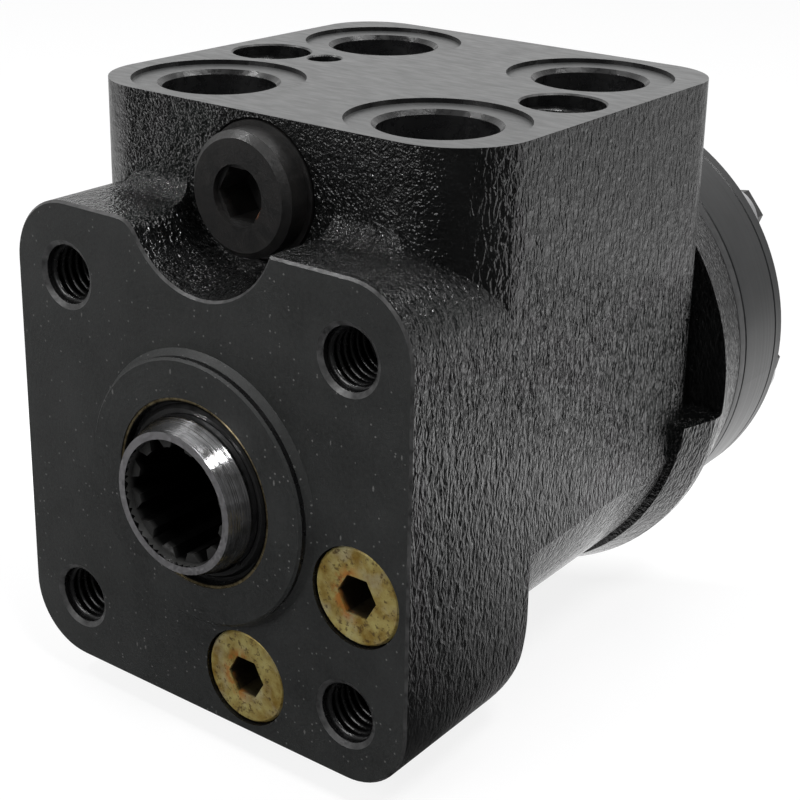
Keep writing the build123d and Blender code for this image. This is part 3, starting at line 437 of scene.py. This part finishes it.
shaft_distance = np.hypot(x, z)
boss = (y < 0.2) & (shaft_distance < 23.5)
finish[boss | ((y < 0.5) & (normal_y < -0.95))] = MACHINED
# The boss's turned side wall takes the near-black bore paint as painted shade.
finish[boss & (shaft_distance > 21.9) & (np.abs(normal_y) < 0.4)] = BORE_AND_SHADE
finish[(z > block_top - 1) & (normal_z > 0.5)] = PORT
finish[between(0, y, 0.45) & (shaft_distance > 30) & between(-0.95, normal_y, -0.4)] = EDGE
finish[(shaft_distance < 17.6) & (y > 0.5)] = BORE_AND_SHADE
finish[near_axis(x, z, relief_plug, 11.6) & (y > 13.9)] = MACHINED
for centre in flange_holes:
    hole = near_axis(x, z, centre, 6.2)
    finish[hole & between(0.6, y, 25)] = BORE_AND_SHADE
    finish[hole & between(0.02, y, 0.6)] = EDGE
# Round each shock plug, the recess it sits in takes the near-black bore paint as painted shade.
for centre in shock_plugs:
    finish[near_axis(x, z, centre, 8.5) & between(0.05, y, 60)] = BORE_AND_SHADE
# The port walls and mouth chamfers take the near-black bore paint, partly painted shade, and each
# spotface's milled side wall takes it as painted shade.
for centre in ports:
    finish[near_axis(x, y, centre, 10.6) & between(20, z, 57.15)] = BORE_AND_SHADE
    spotface = near_axis(x, y, centre, 14.8)
    finish[spotface & (z > 57.1)] = PORT
    finish[spotface & (z > 57.25) & (np.abs(normal_z) < 0.5)] = BORE_AND_SHADE
for centre in block_holes:
    hole = near_axis(x, y, centre, 7.6)
    finish[hole & between(35, z, 57.7)] = BORE_AND_SHADE
    finish[hole & between(57.7, z, 57.95)] = EDGE
finish[near_axis(x, y, locating_hole, 3.5) & between(45, z, 57.9)] = BORE_AND_SHADE
finish[y > 102.7] = MACHINED
mesh.polygons.foreach_set("material_index", finish.astype(np.int32))

# ======================= Threads =======================
# Tapped threads of the four flange holes, the four ports and the two valve block holes, cut after
# the casting was painted or with paint on their first turns.


def tapped_thread(name, material, centres, axis, start, turns, pitch, major, minor, steps):
    """Thread ridges on the walls of a set of holes, in millimetres; each fades in at its start."""
    sunk = 0.08  # how far the ridge's foot lies inside the wall
    crest_start, crest_end, foot_end, fade_in = 0.42, 0.55, 0.97, 0.35  # in shares of the pitch
    centres, axis, side = [Vector(centre) for centre in centres], Vector(axis), Vector((1, 0, 0))
    profile = (
        (major + sunk, 0), (minor, crest_start), (minor, crest_end), (major + sunk, foot_end)
    )
    form = bmesh.new()
    for centre in centres:
        base = centre + start * axis
        corners = [form.verts.new(base + r * side + a * pitch * axis) for r, a in profile]
        outline = [form.edges.new((corners[k], corners[(k + 1) % 4])) for k in range(4)]
        form.faces.new(corners)
        swept = bmesh.ops.spin(
            form,
            geom=corners + outline,
            cent=base,
            axis=axis,
            dvec=axis * pitch / steps,
            angle=2 * math.pi * turns,
            steps=steps * turns,
            use_merge=False,
            use_duplicate=False,
        )
        last_edges = [item for item in swept["geom_last"] if isinstance(item, bmesh.types.BMEdge)]
        bmesh.ops.contextual_create(form, geom=last_edges)
    for vert in form.verts:
        nearest = min(centres, key=lambda c: (vert.co - c - (vert.co - c).dot(axis) * axis).length)
        along = (vert.co - nearest).dot(axis)
        foot = nearest + along * axis
        out = vert.co - foot
        if out.length < (major + minor) / 2:
            grown = (along - start - crest_start * pitch) / (fade_in * pitch)
            grown = min(1.0, max(0.0, grown))
            vert.co = foot + out.normalized() * (major + grown * (minor - major))
    bmesh.ops.recalc_face_normals(form, faces=form.faces)
    bmesh.ops.scale(form, vec=3 * (1 / mm_per_m,), verts=form.verts)
    made = bpy.data.objects.new(name, bpy.data.meshes.new(name))
    form.to_mesh(made.data)
    form.free()
    scene.collection.objects.link(made)
    made.data.materials.append(material)
    made.data.shade_smooth()
    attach(made, "body")


cut_iron, tree, shader = new_material("cut_iron", (0.22, 0.22, 0.23), Metallic=0.3)
torn = place_effect(tree, grain, Size=0.9, Smoothest=0.15, Roughest=0.4)
drive(tree, shader, Roughness=torn["Roughness"])

inwards, downwards = (0, 1, 0), (0, 0, -1)
centres = [(hole_x, 0, hole_z) for hole_x, hole_z in flange_holes]
# The threads in the flange and valve block holes take the near-black bore paint, partly painted
# shade.
tapped_thread("flange_hole_threads", bore_paint_and_shade, centres, inwards, 0.45, 11, 1.5, 5.0, 4.2, 40)
centres = [(port_x, port_y, block_top) for port_x, port_y in ports]
tapped_thread("port_threads", cut_iron, centres, downwards, 4.6, 6, 1.5875, 9.53, 8.75, 64)
centres = [(hole_x, hole_y, block_top) for hole_x, hole_y in block_holes]
tapped_thread("block_hole_threads", bore_paint_and_shade, centres, downwards, 1.2, 9, 1.5, 7.0, 6.2, 48)

# ======================= Spool and its seal =======================
# Ground and polished steel with turning marks on its nose, dark inside; the wiper seal sits in a
# pressed cup round it.
polished, tree, shader = new_material("polished_steel", Metallic=1.0)
lathe = place_effect(tree, rings, Pitch=0.25, Smoothest=0.09, Roughest=0.2)
stain = place_effect(tree, mottle, Size=3.0, Start=0.45, End=0.7)
colour = blend(tree, stain["Mask"], (0.52, 0.52, 0.53), (0.24, 0.235, 0.23))
drive(tree, shader, Base_Color=colour, Roughness=lathe["Roughness"])
raise_bumps(tree, shader, lathe["Height"], 0.05)

spline_dark, tree, shader = new_material("spline_dark", Metallic=0.7)
oily = place_effect(tree, grain, Size=1.5, Smoothest=0.3, Roughest=0.55)
# The splines go from dark grey at the mouth to near-black deeper in the bore: painted shade.
shade_deeper_in = span(tree, place_on_piece(tree)["Y"], -6.2, -4.2)
colour = blend(tree, shade_deeper_in, (0.09, 0.09, 0.088), (0.004, 0.004, 0.004))
drive(tree, shader, Base_Color=colour, Roughness=oily["Roughness"])
raise_bumps(tree, shader, oily["Height"], 0.05, 0.5)

worn_lip, tree, shader = new_material("worn_lip", (0.62, 0.61, 0.63), Metallic=1.0)
burnished = place_effect(tree, grain, Size=0.5, Smoothest=0.3, Roughest=0.55)
drive(tree, shader, Roughness=burnished["Roughness"])

# The splined bore is dark with painted shade, and the rim round its mouth is worn bright.
mesh = nodes["spool"].data
mesh.materials.clear()
for material in (polished, spline_dark, worn_lip):
    mesh.materials.append(material)
SPLINE, LIP = 1, 2
spline_radius, mouth_y, rim_y = 0.0104, -0.0065, -0.0064
for polygon in mesh.polygons:
    centre = polygon.center
    if math.hypot(centre.x, centre.z) < spline_radius and centre.y > mouth_y:
        polygon.material_index = SPLINE
    elif centre.y < rim_y and polygon.normal.y < -0.5:
        polygon.material_index = LIP

rubber, tree, shader = new_material("seal_rubber", (0.009, 0.009, 0.009))
matt_patches = place_effect(tree, grain, Size=1.2, Smoothest=0.25, Roughest=0.55)
drive(tree, shader, Roughness=matt_patches["Roughness"])
raise_bumps(tree, shader, matt_patches["Height"], 0.04, 0.5)

# The cup's brassy steel shows only at its rim, past the rubber's edge.
case_steel, tree, shader = new_material("seal_case_steel", Metallic=1.0)
drawn = place_effect(tree, grain, Size=0.8, Smoothest=0.2, Roughest=0.42)
tarnish = place_effect(tree, mottle, Size=1.8, Start=0.4, End=0.65)
rim = span(tree, place_effect(tree, rings)["Radius"], 15.25, 15.5)
colour = blend(tree, tarnish["Mask"], (0.75, 0.62, 0.36), (0.3, 0.23, 0.12))
colour = blend(tree, rim, (0.01, 0.01, 0.01), colour)
drive(tree, shader, Base_Color=colour, Roughness=drawn["Roughness"])

dressed = {"housing", "spool"}


def give(material, *names):
    """Puts one finish on some of the machined pieces, and notes that they have one."""
    for name in names:
        nodes[name].data.materials.clear()
        nodes[name].data.materials.append(material)
    dressed.update(names)


give(rubber, "dust_seal", "shaft_seal", "o_rings")
give(case_steel, "dust_seal_case")

# ======================= Yellow plugs =======================
# Screw plugs of the shock valves: yellow-passivated steel, speckled brown and rusting round and in
# their hexagon sockets, with painted shade deep inside the sockets.
yellow, tree, shader = new_material("yellow_passivate", Metallic=0.5)
clouds = place_effect(tree, mottle, Size=3.4, Start=0.35, End=0.65)
colour = blend(tree, clouds["Mask"], (0.2, 0.12, 0.015), (0.4, 0.34, 0.12))
bloom = place_effect(tree, mottle, Size=4.5, Start=0.5, End=0.68, Shift=(8.0, 2.0, 4.0))
colour = lay_over(tree, colour, bloom["Mask"], 0.5, (0.4, 0.38, 0.27))
stains = place_effect(tree, mottle, Size=0.8, Start=0.56, End=0.66, Shift=(3.0, 9.0, 5.0))
colour = lay_over(tree, colour, stains["Mask"], 0.8, (0.07, 0.035, 0.01))


def overlap(tree, first, *others):
    """Where several masks meet."""
    for other in others:
        first = maths(tree, "MULTIPLY", first, other)
    return first


spot = place_on_piece(tree)
rust_rings, socket_shade = [], []
for plug_x, plug_z in shock_plugs:
    middle = (plug_x / mm_per_m, 0.0, plug_z / mm_per_m)
    radius = place_effect(tree, rings, Centre=middle)["Radius"]
    outside, inside = span(tree, radius, 3.1, 3.4), span(tree, radius, 5.2, 3.8)
    left_half = span(tree, spot["X"], plug_x + 1.0, plug_x - 1.5)
    rust_rings.append(overlap(tree, inside, outside, left_half, span(tree, spot["Y"], 1.4, 0.7)))
    # Deeper into each hexagon socket the colour goes near-black: painted shade.
    socket_shade.append(overlap(tree, span(tree, radius, 4.2, 4.0), span(tree, spot["Y"], 0.4, 0.9)))
blotches = place_effect(tree, mottle, Size=1.3, Start=0.42, End=0.55, Shift=(1.0, 4.0, 2.0))
rust = overlap(tree, maths(tree, "MAXIMUM", *rust_rings), blotches["Mask"])
colour = lay_over(tree, colour, maths(tree, "MAXIMUM", *socket_shade), 0.93, (0.008, 0.006, 0.005))
colour = lay_over(tree, colour, rust, 0.85, (0.36, 0.12, 0.015))
satin = place_effect(tree, grain, Size=0.6, Smoothest=0.34, Roughest=0.56)
drive(tree, shader, Base_Color=colour, Roughness=satin["Roughness"])
raise_bumps(tree, shader, satin["Height"], 0.05, 0.6)
give(yellow, "shock_plug_1", "shock_plug_2")

# ======================= Relief plug =======================
# Black-oxide steel plug with a hexagon socket, on a bonded washer; rust has started in the socket.
# The cover's screws have the same finish.
oxide, tree, shader = new_material("black_oxide")
clouds = place_effect(tree, mottle, Size=2.2, Start=0.35, End=0.7)
colour = blend(tree, clouds["Mask"], (0.006, 0.006, 0.006), (0.013, 0.012, 0.0115))
middle = (relief_plug[0] / mm_per_m, 0.0, relief_plug[1] / mm_per_m)
in_socket = maths(tree, "LESS_THAN", place_effect(tree, rings, Centre=middle)["Radius"], 4.7)
right_side = span(tree, place_on_piece(tree)["X"], 2.6, 3.8)
blotches = place_effect(tree, mottle, Size=1.1, Start=0.45, End=0.55, Shift=(2.0, 0.0, 6.0))
rust = overlap(tree, in_socket, right_side, blotches["Mask"])
colour = blend(tree, rust, colour, (0.16, 0.05, 0.012))
satin = place_effect(tree, grain, Size=0.5, Smoothest=0.32, Roughest=0.5)
drive(tree, shader, Base_Color=colour, Roughness=satin["Roughness"])
raise_bumps(tree, shader, satin["Height"], 0.06, 0.6)
give(oxide, "relief_plug", "relief_washer", "cover_screws")

# ======================= Gerotor ring, plate and cover =======================
# Turned steel rings in smooth satin black, bolted through a ground plate to the housing, with a
# soft metal washer under each screw.
turned_black, tree, shader = new_material("turned_black", Specular_IOR_Level=0.4)
lathe = place_effect(tree, rings, Pitch=0.5, Smoothest=0.28, Roughest=0.4)
clouds = place_effect(tree, mottle, Size=6.0, Start=0.3, End=0.7)
colour = blend(tree, clouds["Mask"], (0.011, 0.0115, 0.012), (0.018, 0.0185, 0.019))
drive(tree, shader, Base_Color=colour, Roughness=lathe["Roughness"])
raise_bumps(tree, shader, lathe["Height"], 0.02, 0.5)
give(turned_black, "gerotor_ring", "end_cover")

plate_grey, tree, shader = new_material("plate_grey", Metallic=0.2)
ground_marks = place_effect(tree, rings, Pitch=0.3, Smoothest=0.34, Roughest=0.5)
clouds = place_effect(tree, mottle, Size=2.0, Start=0.3, End=0.7)
colour = blend(tree, clouds["Mask"], (0.018, 0.018, 0.0185), (0.045, 0.045, 0.046))
drive(tree, shader, Base_Color=colour, Roughness=ground_marks["Roughness"])
give(plate_grey, "distributor_plate")

washer_metal, tree, shader = new_material("washer_aluminium", (0.5, 0.5, 0.51), Metallic=1.0)
crushed = place_effect(tree, grain, Size=1.0, Smoothest=0.28, Roughest=0.5)
drive(tree, shader, Roughness=crushed["Roughness"])
raise_bumps(tree, shader, crushed["Height"], 0.03, 0.5)
give(washer_metal, "cover_washers")

# ======================= Inner pieces =======================
# Valve, bearing, cardan and gerotor parts inside the housing, turned and ground in bright steel and
# seen only when the unit is taken apart.
ground, tree, shader = new_material("ground_steel", (0.45, 0.45, 0.46), Metallic=1.0)
ground_lay = place_effect(tree, grain, Size=0.9, Smoothest=0.2, Roughest=0.36)
drive(tree, shader, Roughness=ground_lay["Roughness"])
raise_bumps(tree, shader, ground_lay["Height"], 0.02, 0.4)
give(ground, *(name for name in nodes if name not in dressed))
